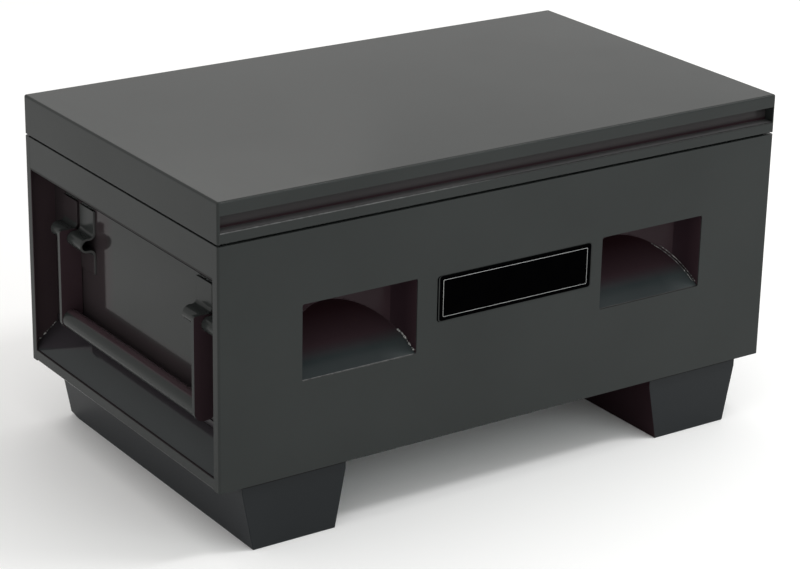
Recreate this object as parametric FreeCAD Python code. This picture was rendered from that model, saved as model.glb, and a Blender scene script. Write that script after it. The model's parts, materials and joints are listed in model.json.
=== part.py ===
# Jobsite storage box: a welded sheet-steel chest on two skids, with a hinged
# lid, two padlock pockets in the front and a drop handle in each end recess.
# Millimetres. +Z up, +X along the long side, the front faces -Y.
# While it is modelled, x = 0 is the middle, y = 0 the front face of the body
# and z = 0 the ground; save() moves each piece so that the origin is the
# centre of the whole object's base.
import FreeCAD
import Part
import math
import os
from FreeCAD import Vector

# ---- driving dimensions -------------------------------------------------
# body
width = 812.8
depth = 477.0
body_height = 300.5
sheet = 1.5
fold_radius = 2.25          # of a fold's middle line
side_return = 12.5          # front and back sheets folded round onto the ends
header_height = 44.5
header_hem = 7.0
sill_height = 16.0
recess_depth = 38.0         # end face to inner end panel
ramp_rise = 29.0
ramp_hem = 9.0
rim_width = 20.0
rim_lip = 12.0
rim_setback = 9.0           # of the raised rim behind the outer faces

# skids
skid_height = 86.5
skid_wall = 2.5
skid_inset = 34.0           # from the end of the box to the skid's top edge
skid_top_width = 142.0
skid_lean = 14.3            # of each side, from the collar to the ground
skid_collar = 12.0          # upright part below the body
skid_front_gap = 6.0
skid_back_gap = 10.0
skid_toe_length = 20.0
skid_toe_rise = 4.0

# lid
seam = 2.4
lid_height = 50.0
lid_edge_radius = 3.0
lid_lip = 16.5
groove_height = 20.0
groove_depth = 16.0
rail_fold_radius = 1.4
rail_behind_lip = 9.0
rail_foot = 24.0
hat_width = 36.0
hat_drop = 14.0
hat_slant = 7.0
hat_brim = 20.0
hat_end_gap = 60.0
lid_play = 0.3              # between the closed lid and the rim it rests on

# padlock pockets and the lid's lock tabs
pocket_inset = 190.0        # pocket centre to the end of the box
pocket_width = 158.75
pocket_opening = 95.0
pocket_sill = 116.0
pocket_corner = 2.5
pocket_slope = 0.75
pocket_below_rim = 38.5     # of the ceiling
tab_thickness = 5.0
tab_width = 18.0
tab_behind_front = 30.0
tab_drop = 77.5             # below the lid's bottom edge
tab_root = 28.0
padlock_hole = 13.0
slot_play = 1.5

# drop handles
pivot_inset = 25.7
pivot_height = 182.5        # above the underside of the body
pin_diameter = 12.7
pin_play = 0.1
pin_reach_in = 20.0
pin_reach_out = 34.0
strap_thickness = 3.0
strap_width = 36.0
strap_upper_leg = 43.5
strap_lower_leg = 39.5
strap_fold_radius = 7.0
arm_span = 341.0            # over the outer faces of the two arms
arm_thickness = 6.0
arm_inset = 7.0
arm_panel_gap = 1.5
arm_top = 11.5              # above the pivot
arm_top_corner = 3.0
arm_foot_corner = 12.0
arm_strap_gap = 1.0
grip_diameter = 25.4
grip_wall = 2.5
grip_drop = 107.5           # pivot to the middle of the grip
grip_inset = 20.5
grip_foot = 0.4             # arm past the grip at the bottom
slot_length = 28.0
slot_height = 4.0

# hinge
knuckle_radius = 3.0
hinge_pin_radius = 1.5
hinge_play = 0.1
hinge_stand_off = 0.4       # knuckles to the back of the box
hinge_leaf = 1.5
hinge_leaf_height = 30.0
hinge_below_rim = 2.0
hinge_end_gap = 6.4
knuckle_count = 5
knuckle_gap = 0.5

# lid stay, at the right-hand end
stay_arm = 120.0            # hinge axis to either end of the stay
stay_lift = 7.2             # degrees above level, to the pivot on the lid
stay_drop = 17.0            # degrees below level, to the stud on the body
lid_opening = 100.0         # degrees
stay_thickness = 3.0
stay_bar_width = 20.0
stay_stud_diameter = 8.0
stay_slot_play = 0.5
stay_end_margin = 7.0
stay_off_panel = 4.5
stay_side_gap = 0.5
stay_head_size = 14.0       # across the flats
stay_head_height = 2.5
bracket_thickness = 2.5
bracket_width = 30.0
bracket_foot = 28.0
bracket_below_pivot = 12.0

# nameplate
plate_width = 228.0
plate_height = 56.5
plate_thickness = 0.8
plate_corner = 4.0
plate_bottom = 150.3        # above the underside of the body
plate_shift = 6.5           # to the right of the middle

# ---- levels and places that follow --------------------------------------
half_width = width / 2
floor_z = skid_height
rim_z = floor_z + body_height
lid_z = rim_z + seam
top_z = lid_z + lid_height
lid_inner_top = top_z - sheet
panel_x = -half_width + recess_depth
panel_inner_x = panel_x + sheet
back_inner_y = depth - sheet
hinge_y = depth + hinge_stand_off + knuckle_radius
hinge_z = rim_z - hinge_below_rim
pocket_x = -half_width + pocket_inset
pocket_radius = pocket_width / 2
pocket_bottom = floor_z + pocket_sill
pocket_top = pocket_bottom + pocket_opening
pocket_ceiling = rim_z - pocket_below_rim
pivot_x = -half_width + pivot_inset
pivot_z = floor_z + pivot_height
pin_radius = pin_diameter / 2
strap_bore = pin_radius + pin_play
handle_mid_y = depth / 2
grip_z = pivot_z - grip_drop
to_origin = Vector(0, -(hinge_y + knuckle_radius - plate_thickness) / 2, 0)


# ---- helpers -------------------------------------------------------------
def save(name, *solids):
    os.makedirs("parts", exist_ok=True)
    shape = solids[0] if len(solids) == 1 else Part.makeCompound(list(solids))
    moved = shape.copy()
    moved.translate(to_origin)
    moved.exportStep(os.path.join("parts", name + ".step"))


def mirrored(shape):
    return shape.mirror(Vector(0, 0, 0), Vector(1, 0, 0))


def save_pair(name, *solids):
    # the piece at the left-hand end and its mirror image at the right
    save("left_" + name, *solids)
    save("right_" + name, *[mirrored(solid) for solid in solids])


def block(x0, x1, y0, y1, z0, z1):
    return Part.makeBox(x1 - x0, y1 - y0, z1 - z0, Vector(x0, y0, z0))


def rod_x(radius, x0, x1, y, z):
    return Part.makeCylinder(radius, x1 - x0, Vector(x0, y, z), Vector(1, 0, 0))


def hexagon_x(across_flats, x0, x1, y, z):
    # a hexagon head or nut, flat side up
    radius = across_flats / math.sqrt(3)
    corners = [Vector(x0, y + radius * math.cos(turn * math.pi / 3),
                      z + radius * math.sin(turn * math.pi / 3)) for turn in range(6)]
    return outline(corners).extrude(Vector(x1 - x0, 0, 0))


def rod_y(radius, y0, y1, x, z):
    return Part.makeCylinder(radius, y1 - y0, Vector(x, y0, z), Vector(0, 1, 0))


def rod_z(radius, z0, z1, x, y):
    return Part.makeCylinder(radius, z1 - z0, Vector(x, y, z0), Vector(0, 0, 1))


def outline(points):
    return Part.Face(Part.makePolygon(points + [points[0]]))


def edges_along(shape, axis, tests=()):
    # straight edges parallel to axis whose middle passes every test
    found = []
    for edge in shape.Edges:
        run = edge.Vertexes[-1].Point - edge.Vertexes[0].Point
        along = run.Length > 0 and run.cross(axis).Length < 1e-6 * run.Length
        if along and all(test(edge.CenterOfMass) for test in tests):
            found.append(edge)
    return found


def folded(points, radii, thickness, place, run):
    # A strip of sheet folded along a middle line of points, with a radius at
    # each fold, set in space by place and extruded along run.
    flat = [Vector(a, b, 0) for a, b in points]
    half = thickness / 2
    sides = []
    for side in (half, -half):
        edges = []
        heading = (flat[1] - flat[0]).normalize()
        left = Vector(-heading.y, heading.x, 0)
        start = flat[0] + left * side
        for corner, after, radius in zip(flat[1:-1], flat[2:], radii):
            next_heading = (after - corner).normalize()
            next_left = Vector(-next_heading.y, next_heading.x, 0)
            turn = heading.cross(next_heading).z
            angle = heading.getAngle(next_heading)
            reach = radius * math.tan(angle / 2)
            arc_in = corner - heading * reach
            centre = arc_in + left * math.copysign(radius, turn)
            arc_start = arc_in + left * side
            arc_end = corner + next_heading * reach + next_left * side
            middle = (arc_start - centre) + (arc_end - centre)
            arc_middle = centre + middle.normalize() * (arc_start - centre).Length
            if (arc_start - start).Length > 1e-6:
                edges.append((start, arc_start))
            edges.append((arc_start, arc_middle, arc_end))
            start = arc_end
            heading = next_heading
            left = next_left
        edges.append((start, flat[-1] + left * side))
        sides.append(edges)
    ends = [(sides[0][0][0], sides[1][0][0]), (sides[0][-1][-1], sides[1][-1][-1])]
    shapes = []
    for edge in sides[0] + sides[1] + ends:
        spots = [place(point.x, point.y) for point in edge]
        curve = Part.LineSegment(*spots) if len(spots) == 2 else Part.Arc(*spots)
        shapes.append(curve.toShape())
    wire = Part.Wire(Part.sortEdges(shapes)[0])
    return Part.Face(wire).extrude(run)


def in_xy(z):
    return lambda a, b: Vector(a, b, z)


def in_xz(y):
    return lambda a, b: Vector(a, y, b)


def in_yz(x):
    return lambda a, b: Vector(x, a, b)


# ---- body shell ----------------------------------------------------------
def wrap_sheet(face_y, return_y):
    # a front or back sheet with its two returns folded round onto the ends
    edge = half_width - sheet / 2
    path = [(-edge, return_y), (-edge, face_y), (edge, face_y), (edge, return_y)]
    radii = [fold_radius, fold_radius]
    return folded(path, radii, sheet, in_xy(floor_z), Vector(0, 0, body_height))


def pocket_cut():
    hole = block(pocket_x - pocket_radius, pocket_x + pocket_radius,
                 -sheet, 2 * sheet, pocket_bottom, pocket_top)
    return hole.makeFillet(pocket_corner, edges_along(hole, Vector(0, 1, 0)))


def wraps():
    return [wrap_sheet(sheet / 2, side_return), wrap_sheet(depth - sheet / 2, depth - side_return)]


def make_shell():
    front, back = wraps()
    left_hole = pocket_cut()
    save("front_panel", front.cut(left_hole).cut(mirrored(left_hole)))
    save("back_panel", back)

    # floor: turned up at both ends into the sill below each recess
    edge = half_width - sheet / 2
    sill_top = floor_z + sill_height
    path = [(-edge, sill_top), (-edge, floor_z + sheet / 2),
            (edge, floor_z + sheet / 2), (edge, sill_top)]
    sill_run = depth - 2 * side_return
    tray = folded(path, [fold_radius, fold_radius], sheet, in_xz(side_return), Vector(0, sill_run, 0))
    strips = [block(-half_width + sheet, half_width - sheet, y0, y1, floor_z, floor_z + sheet)
              for y0, y1 in ((sheet, side_return), (depth - side_return, back_inner_y))]
    save("bottom_panel", tray.fuse(strips).cut([front, back]).removeSplitter())

    # rim: a web between the sheets, raised behind the seam for the lid to rest
    # on, with a lip down the front and the back
    rim_top = lid_z - lid_play
    low_z = rim_z - sheet
    web = block(-half_width + sheet, half_width - sheet, sheet, back_inner_y, low_z, rim_z)
    raised = block(-half_width + rim_setback, half_width - rim_setback, rim_setback,
                   depth - rim_setback, rim_z, rim_top)
    lip_front = sheet + rim_width
    lip_back = back_inner_y - rim_width
    mouth = block(panel_inner_x, -panel_inner_x, lip_front, lip_back, low_z, rim_top)
    lips = [block(panel_inner_x, -panel_inner_x, y0, y0 + sheet, rim_z - rim_lip, low_z)
            for y0 in (lip_front - sheet, lip_back)]
    save("rim_frame", web.fuse(raised).cut(mouth).fuse(lips).cut(wraps()).removeSplitter())


# ---- ends ------------------------------------------------------------------
def strap_spans():
    # the four straps of one handle as (y0, y1): one each side of either arm
    spans = []
    for outer_face, inward in ((handle_mid_y - arm_span / 2, 1), (handle_mid_y + arm_span / 2, -1)):
        inner_face = outer_face + inward * arm_thickness
        for face, way in ((inner_face, inward), (outer_face, -inward)):
            near = face + way * arm_strap_gap
            spans.append(sorted((near, near + way * strap_width)))
    return spans


def make_ends():
    # inner end panel, slotted above each strap
    panel = block(panel_x, panel_inner_x, sheet, back_inner_y, floor_z + sheet, rim_z - sheet)
    slot_z = pivot_z + strap_upper_leg
    for y0, y1 in strap_spans():
        middle = (y0 + y1) / 2
        slot = block(panel_x - sheet, panel_inner_x + sheet, middle - slot_length / 2,
                     middle + slot_length / 2, slot_z, slot_z + slot_height)
        panel = panel.cut(slot)
    save_pair("end_panel", panel)

    # header above the recess, hemmed inwards along its lower edge
    face_x = -half_width + sheet / 2
    hem_z = rim_z - header_height + sheet / 2
    path = [(face_x, rim_z), (face_x, hem_z), (face_x + header_hem, hem_z)]
    run = Vector(0, depth - 2 * side_return, 0)
    save_pair("header", folded(path, [fold_radius], sheet, in_xz(side_return), run))

    # ramp from the sill up to the inner end panel
    sill_top = floor_z + sill_height
    low_x = -half_width + 1.5 * sheet
    high_x = panel_x - sheet / 2
    ramp_top = sill_top + ramp_rise
    path = [(low_x, sill_top - ramp_hem), (low_x, sill_top - sheet),
            (high_x, ramp_top), (high_x, ramp_top + ramp_hem)]
    run = Vector(0, back_inner_y - sheet, 0)
    ramp = folded(path, [fold_radius, fold_radius], sheet, in_xz(sheet), run)
    save_pair("recess_ramp", ramp.cut(wraps()))


# ---- skids -----------------------------------------------------------------
def skid_body(wall):
    # the skid's outside for a wall of 0, its hollow for the real wall
    outer_top = -half_width + skid_inset + wall
    inner_top = -half_width + skid_inset + skid_top_width - wall
    outer_foot = outer_top + skid_lean
    inner_foot = inner_top - skid_lean
    collar_z = floor_z - skid_collar
    front_view = outline([Vector(outer_top, 0, floor_z), Vector(outer_top, 0, collar_z),
                          Vector(outer_foot, 0, wall), Vector(inner_foot, 0, wall),
                          Vector(inner_top, 0, collar_z), Vector(inner_top, 0, floor_z)])
    front_y = skid_front_gap + wall
    back_y = depth - skid_back_gap - wall
    toe_y = depth - skid_back_gap - skid_toe_length
    side_x = -half_width + skid_inset
    side_view = outline([Vector(side_x, front_y, floor_z), Vector(side_x, front_y, wall),
                         Vector(side_x, toe_y, wall), Vector(side_x, back_y, wall + skid_toe_rise),
                         Vector(side_x, back_y, floor_z)])
    along = front_view.extrude(Vector(0, depth, 0))
    across = side_view.extrude(Vector(skid_top_width, 0, 0))
    return along.common(across)


def make_skids():
    save_pair("skid", skid_body(0.0).cut(skid_body(skid_wall)))


# ---- padlock pockets -------------------------------------------------------
def pocket_disc(radius, z0, z1):
    disc = rod_z(radius, z0, z1, pocket_x, 0)
    keep = block(pocket_x - radius, pocket_x + radius, sheet, sheet + radius, z0, z1)
    return disc.common(keep)


def make_pockets():
    # floor: a half-round plate that climbs inwards from the opening's sill
    reach = pocket_radius + 2 * sheet
    rise = pocket_slope * reach
    drop = sheet * math.hypot(1, pocket_slope)
    slab = outline([Vector(pocket_x - reach, sheet, pocket_bottom),
                    Vector(pocket_x - reach, sheet + reach, pocket_bottom + rise),
                    Vector(pocket_x - reach, sheet + reach, pocket_bottom + rise - drop),
                    Vector(pocket_x - reach, sheet, pocket_bottom - drop)])
    slab = slab.extrude(Vector(2 * reach, 0, 0))
    low_z = pocket_bottom - drop
    column = pocket_disc(pocket_radius, low_z, pocket_ceiling)
    save_pair("pocket_floor", slab.common(column))

    # wall: a half tube, cut along the underside of the sloping floor
    tube = pocket_disc(pocket_radius + sheet, low_z, pocket_ceiling)
    tube = tube.cut(pocket_disc(pocket_radius, low_z, pocket_ceiling))
    below = outline([Vector(pocket_x - reach, 0, low_z - sheet),
                     Vector(pocket_x - reach, 0, low_z - pocket_slope * sheet),
                     Vector(pocket_x - reach, 2 * reach, low_z + pocket_slope * (2 * reach - sheet)),
                     Vector(pocket_x - reach, 2 * reach, low_z - sheet)])
    save_pair("pocket_wall", tube.cut(below.extrude(Vector(2 * reach, 0, 0))))

    # ceiling: slotted for the lid's lock tab, which swings forwards as it rises
    ceiling = pocket_disc(pocket_radius + sheet, pocket_ceiling, pocket_ceiling + sheet)
    tip_below = hinge_z - (lid_z - tab_drop)
    tab_front_arm = hinge_y - tab_behind_front
    swing = math.hypot(tab_front_arm, tip_below) - tab_front_arm
    half_slot = tab_thickness / 2 + slot_play
    slot = block(pocket_x - half_slot, pocket_x + half_slot,
                 tab_behind_front - swing - slot_play, tab_behind_front + tab_width + slot_play,
                 pocket_ceiling - sheet, pocket_ceiling + 2 * sheet)
    save_pair("pocket_ceiling", ceiling.cut(slot))


# ---- lid -------------------------------------------------------------------
def lid_solid(inset, radius):
    solid = block(-half_width + inset, half_width - inset, inset, depth - inset, lid_z, top_z - inset)
    high = [lambda spot: spot.z > top_z - inset - 1e-6]
    top_edges = edges_along(solid, Vector(1, 0, 0), high) + edges_along(solid, Vector(0, 1, 0), high)
    return solid.makeFillet(radius, top_edges)


def make_lid():
    # pan: the top with both ends, the back and a short lip in front turned down
    pan = lid_solid(0.0, lid_edge_radius).cut(lid_solid(sheet, lid_edge_radius - sheet))
    lip_z = top_z - lid_lip
    mouth = block(-half_width + sheet, half_width - sheet, -sheet, 2 * sheet, lid_z, lip_z)
    save("lid_pan", pan.cut(mouth))

    # front rail: folded to the finger groove, the front flange and a foot
    behind_lip = 1.5 * sheet
    groove_back = groove_depth + sheet / 2
    groove_roof = lip_z + sheet / 2
    ledge_z = lip_z - groove_height - sheet / 2
    foot_z = lid_z + sheet / 2
    path = [(behind_lip, lip_z + rail_behind_lip), (behind_lip, groove_roof),
            (groove_back, groove_roof), (groove_back, ledge_z),
            (sheet / 2, ledge_z), (sheet / 2, foot_z), (rail_foot, foot_z)]
    rail = folded(path, [rail_fold_radius] * 5, sheet, in_yz(-half_width + sheet),
                  Vector(width - 2 * sheet, 0, 0))
    save("lid_front_rail", rail)

    # stiffener: a hat channel across the middle of the pan
    middle = depth / 2
    brim_z = lid_inner_top - sheet / 2
    half_hat = hat_width / 2
    half_base = half_hat + hat_slant
    path = [(middle - half_base - hat_brim, brim_z), (middle - half_base, brim_z),
            (middle - half_hat, brim_z - hat_drop), (middle + half_hat, brim_z - hat_drop),
            (middle + half_base, brim_z), (middle + half_base + hat_brim, brim_z)]
    hat = folded(path, [fold_radius] * 4, sheet, in_yz(-half_width + hat_end_gap),
                 Vector(width - 2 * hat_end_gap, 0, 0))
    save("lid_stiffener", hat)

    # lock tabs: carried on the back of the rail, reaching down into the pockets
    tab_x = pocket_x - tab_thickness / 2
    root_y = groove_depth + sheet
    shoulder_z = lid_z + 2 * sheet
    tip_z = lid_z - tab_drop
    tab_back = tab_behind_front + tab_width
    tab = outline([Vector(tab_x, root_y, shoulder_z), Vector(tab_x, tab_behind_front, shoulder_z),
                   Vector(tab_x, tab_behind_front, tip_z), Vector(tab_x, tab_back, tip_z),
                   Vector(tab_x, tab_back, shoulder_z + tab_root),
                   Vector(tab_x, root_y, shoulder_z + tab_root)])
    tab = tab.extrude(Vector(tab_thickness, 0, 0))
    low = [lambda spot: spot.z < tip_z + 1e-6]
    across = Vector(1, 0, 0)
    tab = tab.makeFillet(tab_width / 2 - 0.5, edges_along(tab, across, low))
    hole_y = tab_behind_front + tab_width / 2
    hole_z = tip_z + padlock_hole
    tab = tab.cut(rod_x(padlock_hole / 2, tab_x - 1, tab_x + tab_thickness + 1, hole_y, hole_z))
    save_pair("lock_tab", tab)


# ---- hinge -----------------------------------------------------------------
def hinge_half(first, way):
    # a leaf with every second knuckle; way is 1 for the lid's, -1 for the body's
    start = -half_width + hinge_end_gap
    pitch = (width - 2 * hinge_end_gap) / knuckle_count
    clear = knuckle_radius + knuckle_gap
    z0, z1 = sorted((hinge_z + way * clear, hinge_z + way * (clear + hinge_leaf_height)))
    half = block(start, -start, depth, depth + hinge_leaf, z0, z1)
    neck_y = depth + hinge_stand_off
    neck_end = hinge_z + way * (clear + hinge_leaf)
    for index in range(first, knuckle_count, 2):
        x0 = start + index * pitch + knuckle_gap / 2
        x1 = start + (index + 1) * pitch - knuckle_gap / 2
        neck_z0, neck_z1 = sorted((hinge_z, neck_end))
        neck = block(x0, x1, neck_y, neck_y + hinge_leaf, neck_z0, neck_z1)
        half = half.fuse([neck, rod_x(knuckle_radius, x0, x1, hinge_y, hinge_z)])
    return half


def make_hinge():
    # the pin is staked in the body's knuckles and runs free in the lid's
    start = -half_width + hinge_end_gap + knuckle_gap
    pin = rod_x(hinge_pin_radius, start, -start, hinge_y, hinge_z)
    bore = rod_x(hinge_pin_radius + hinge_play, start, half_width, hinge_y, hinge_z)
    save("hinge_body_leaf", hinge_half(0, -1).fuse(pin).removeSplitter())
    save("hinge_lid_leaf", hinge_half(1, 1).cut(bore).removeSplitter())


# ---- drop handles ----------------------------------------------------------
def strap(y0, y1):
    # a strap that lies on the end panel and loops out round the pivot pin
    leg_x = panel_x - strap_thickness / 2
    loop = strap_bore + strap_thickness / 2
    nose_x = pivot_x - loop
    path = [(leg_x, pivot_z + strap_upper_leg), (leg_x, pivot_z + loop), (nose_x, pivot_z + loop),
            (nose_x, pivot_z - loop), (leg_x, pivot_z - loop), (leg_x, pivot_z - strap_lower_leg)]
    radii = [strap_fold_radius, loop, loop, strap_fold_radius]
    return folded(path, radii, strap_thickness, in_xz(y0), Vector(0, y1 - y0, 0))


def handle_arm(y0):
    # a flat bar, rounded behind the pivot so that it clears the panel, square
    # in front of it so that it stops the handle level
    front_x = -half_width + arm_inset
    back_x = panel_x - arm_panel_gap
    foot_z = grip_z - grip_diameter / 2 - grip_foot
    bar = block(front_x, back_x, y0, y0 + arm_thickness, foot_z, pivot_z + arm_top)
    across = Vector(0, 1, 0)
    middle_x = (front_x + back_x) / 2
    bar = bar.makeFillet(arm_foot_corner, edges_along(bar, across, [lambda spot: spot.z < grip_z]))
    back_top = [lambda spot: spot.z > pivot_z, lambda spot: spot.x > middle_x]
    bar = bar.makeFillet(back_x - pivot_x, edges_along(bar, across, back_top))
    front_top = [lambda spot: spot.z > pivot_z, lambda spot: spot.x < front_x + 1e-6]
    bar = bar.makeFillet(arm_top_corner, edges_along(bar, across, front_top))
    return bar.cut(rod_y(pin_radius, y0 - 1, y0 + arm_thickness + 1, pivot_x, pivot_z))


def make_handles():
    front_y = handle_mid_y - arm_span / 2
    back_y = handle_mid_y + arm_span / 2
    save_pair("pivot_straps", *[strap(y0, y1) for y0, y1 in strap_spans()])
    save_pair("handle_arms", handle_arm(front_y), handle_arm(back_y - arm_thickness))
    grip_x = -half_width + grip_inset
    grip_y0 = front_y + arm_thickness
    grip_y1 = back_y - arm_thickness
    grip = rod_y(grip_diameter / 2, grip_y0, grip_y1, grip_x, grip_z)
    save_pair("handle_grip", grip.cut(rod_y(grip_diameter / 2 - grip_wall, grip_y0, grip_y1, grip_x, grip_z)))
    inner = arm_thickness + pin_reach_in
    save_pair("handle_pins",
              rod_y(pin_radius, front_y - pin_reach_out, front_y + inner, pivot_x, pivot_z),
              rod_y(pin_radius, back_y - inner, back_y + pin_reach_out, pivot_x, pivot_z))


# ---- lid stay --------------------------------------------------------------
def around_hinge(degrees):
    # a point stay_arm from the hinge axis, degrees above level towards the front
    angle = math.radians(degrees)
    return hinge_y - stay_arm * math.cos(angle), hinge_z + stay_arm * math.sin(angle)


def make_stay():
    # Lid pivot and body stud lie equally far from the hinge axis, so the slotted
    # bar always turns half as far as the lid.
    lid_y, lid_pivot_z = around_hinge(stay_lift)
    stud_y, stud_z = around_hinge(-stay_drop)
    spread = stay_lift + stay_drop
    shut_length = 2 * stay_arm * math.sin(math.radians(spread / 2))
    open_length = 2 * stay_arm * math.sin(math.radians((spread + lid_opening) / 2))

    wall_x = -panel_inner_x
    bar_out = wall_x - stay_off_panel
    bar_in = bar_out - stay_thickness
    slot_radius = stay_stud_diameter / 2 + stay_slot_play
    half_bar = stay_bar_width / 2

    def bar_piece(radius, near, far):
        # a round-ended bar hanging straight down from the lid pivot
        ends = [rod_x(radius, bar_in, bar_out, lid_y, lid_pivot_z - reach) for reach in (near, far)]
        middle = block(bar_in, bar_out, lid_y - radius, lid_y + radius,
                       lid_pivot_z - far, lid_pivot_z - near)
        return middle.fuse(ends).removeSplitter()

    bar = bar_piece(half_bar, 0.0, open_length + stay_end_margin)
    bar = bar.cut(bar_piece(slot_radius, shut_length, open_length))
    pivot_radius = stay_stud_diameter / 2
    bar = bar.cut(rod_x(pivot_radius + hinge_play, bar_in, bar_out, lid_y, lid_pivot_z))
    lean = math.degrees(math.atan2(stud_y - lid_y, lid_pivot_z - stud_z))
    bar.rotate(Vector(0, lid_y, lid_pivot_z), Vector(1, 0, 0), lean)
    save("stay_bar", bar)

    # stud: a shank from the panel through the slot, with a head inside the bar
    head_out = bar_in - stay_side_gap
    head_in = head_out - stay_head_height
    shank = rod_x(pivot_radius, head_in, wall_x, stud_y, stud_z)
    head = hexagon_x(stay_head_size, head_in, head_out, stud_y, stud_z)
    save("stay_stud", shank.fuse(head).removeSplitter())

    # bracket under the lid, just inside the bar, and its pivot pin
    plate_x = head_out - bracket_thickness / 2
    roof_z = lid_inner_top - bracket_thickness / 2
    low_z = lid_pivot_z - bracket_below_pivot
    path = [(plate_x, low_z), (plate_x, roof_z), (plate_x - bracket_foot, roof_z)]
    bracket = folded(path, [bracket_thickness], bracket_thickness,
                     in_xz(lid_y - bracket_width / 2), Vector(0, bracket_width, 0))
    low = [lambda spot: spot.z < low_z + 1e-6]
    corner = bracket_below_pivot - pivot_radius
    bracket = bracket.makeChamfer(corner, edges_along(bracket, Vector(1, 0, 0), low))
    bracket = bracket.cut(rod_x(pivot_radius, head_out - bracket_thickness, head_out, lid_y, lid_pivot_z))
    save("stay_bracket", bracket)
    pin_in = head_out - bracket_thickness
    rivet = rod_x(pivot_radius, pin_in, bar_out + stay_side_gap, lid_y, lid_pivot_z)
    cap_in = bar_out + stay_side_gap
    cap = hexagon_x(stay_head_size, cap_in, cap_in + stay_head_height, lid_y, lid_pivot_z)
    save("stay_pivot_pin", rivet.fuse(cap).removeSplitter())


def make_nameplate():
    bottom_z = floor_z + plate_bottom
    plate = block(plate_shift - plate_width / 2, plate_shift + plate_width / 2, -plate_thickness, 0,
                  bottom_z, bottom_z + plate_height)
    save("nameplate", plate.makeFillet(plate_corner, edges_along(plate, Vector(0, 1, 0))))


make_shell()
make_ends()
make_skids()
make_pockets()
make_lid()
make_hinge()
make_handles()
make_stay()
make_nameplate()
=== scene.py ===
import bpy
import json
import math
import random
from mathutils import Matrix, Vector

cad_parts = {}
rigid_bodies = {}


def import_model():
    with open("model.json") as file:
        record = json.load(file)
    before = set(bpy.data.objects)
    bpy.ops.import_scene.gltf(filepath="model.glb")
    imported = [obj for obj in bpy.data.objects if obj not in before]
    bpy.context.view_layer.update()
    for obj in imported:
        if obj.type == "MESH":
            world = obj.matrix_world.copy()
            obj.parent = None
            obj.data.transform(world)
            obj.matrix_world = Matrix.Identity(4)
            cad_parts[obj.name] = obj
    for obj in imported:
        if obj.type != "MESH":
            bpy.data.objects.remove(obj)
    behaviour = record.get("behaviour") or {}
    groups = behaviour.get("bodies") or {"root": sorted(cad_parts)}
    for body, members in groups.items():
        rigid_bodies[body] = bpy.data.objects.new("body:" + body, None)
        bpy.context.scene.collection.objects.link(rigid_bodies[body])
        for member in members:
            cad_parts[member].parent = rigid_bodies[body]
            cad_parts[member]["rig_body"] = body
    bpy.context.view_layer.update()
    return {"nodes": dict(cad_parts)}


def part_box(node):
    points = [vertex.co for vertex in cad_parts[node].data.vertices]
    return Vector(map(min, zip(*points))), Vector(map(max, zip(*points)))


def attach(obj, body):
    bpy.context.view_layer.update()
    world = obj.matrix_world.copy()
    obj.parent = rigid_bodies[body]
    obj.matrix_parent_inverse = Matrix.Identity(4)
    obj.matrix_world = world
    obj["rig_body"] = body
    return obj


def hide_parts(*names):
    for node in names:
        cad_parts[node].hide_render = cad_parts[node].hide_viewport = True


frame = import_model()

nodes = frame["nodes"]
mm = 0.001
alongBox, sideways, upwards = (1, 0, 0), (0, 1, 0), (0, 0, 1)


def pair(name):
    return ["left_" + name, "right_" + name]


# modelling steps that several pieces use

def deselect():
    bpy.ops.object.select_all(action="DESELECT")
    bpy.context.view_layer.objects.active = None


def selectOnly(piece):
    deselect()
    piece.select_set(True)
    bpy.context.view_layer.objects.active = piece


def pickFaces(piece, test):
    bpy.ops.object.mode_set(mode="EDIT")
    bpy.ops.mesh.select_mode(type="FACE")
    bpy.ops.mesh.select_all(action="DESELECT")
    bpy.ops.object.mode_set(mode="OBJECT")
    for face in piece.data.polygons:
        face.select = test(face.center, face.normal)
    bpy.ops.object.mode_set(mode="EDIT")


def pickEdges(piece, test):
    bpy.ops.object.mode_set(mode="EDIT")
    bpy.ops.mesh.select_mode(type="EDGE")
    bpy.ops.mesh.select_all(action="DESELECT")
    bpy.ops.object.mode_set(mode="OBJECT")
    points = [vertex.co for vertex in piece.data.vertices]
    for edge in piece.data.edges:
        start, end = (points[index] for index in edge.vertices)
        edge.select = test((start + end) / 2, (end - start).normalized())
    bpy.ops.object.mode_set(mode="EDIT")


def addBlock(name, low, high):
    # a cube of the given corners, with its place in its mesh
    deselect()
    low, high = Vector(low), Vector(high)
    bpy.ops.mesh.primitive_cube_add(size=1.0, location=(low + high) / 2)
    piece = bpy.context.object
    piece.name = name
    piece.data.name = name
    piece.scale = high - low
    bpy.ops.object.transform_apply(location=True, rotation=True, scale=True)
    return piece


def keepFlatsFlat(piece, smoothBelow=50):
    # smooth over the small bevels while the large faces stay dead flat
    selectOnly(piece)
    bpy.ops.object.shade_smooth_by_angle(angle=math.radians(smoothBelow))
    flats = piece.modifiers.new("flatFaces", "WEIGHTED_NORMAL")
    flats.mode = "FACE_AREA"
    flats.weight = 100
    flats.keep_sharp = True
    bpy.ops.object.modifier_apply(modifier=flats.name)


def roundEdges(piece, radius, sharp=30, segments=2):
    # radius in metres; sharp is the least angle in degrees that counts as an edge
    selectOnly(piece)
    bevel = piece.modifiers.new("softEdges", "BEVEL")
    bevel.width = radius
    bevel.segments = segments
    bevel.limit_method = "ANGLE"
    bevel.angle_limit = math.radians(sharp)
    bevel.use_clamp_overlap = True
    bpy.ops.object.modifier_apply(modifier=bevel.name)
    keepFlatsFlat(piece)


def dress(piece, node, slot, *materials):
    # the piece stands for the node and takes its finish and its body
    piece.data.materials.clear()
    for material in materials:
        piece.data.materials.append(material)
    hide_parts(node)
    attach(piece, nodes[node]["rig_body"])
    return piece


cleanUp = {"mergeWithin": 0.00002, "flatWithin": 0.6}     # metres and degrees


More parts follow.
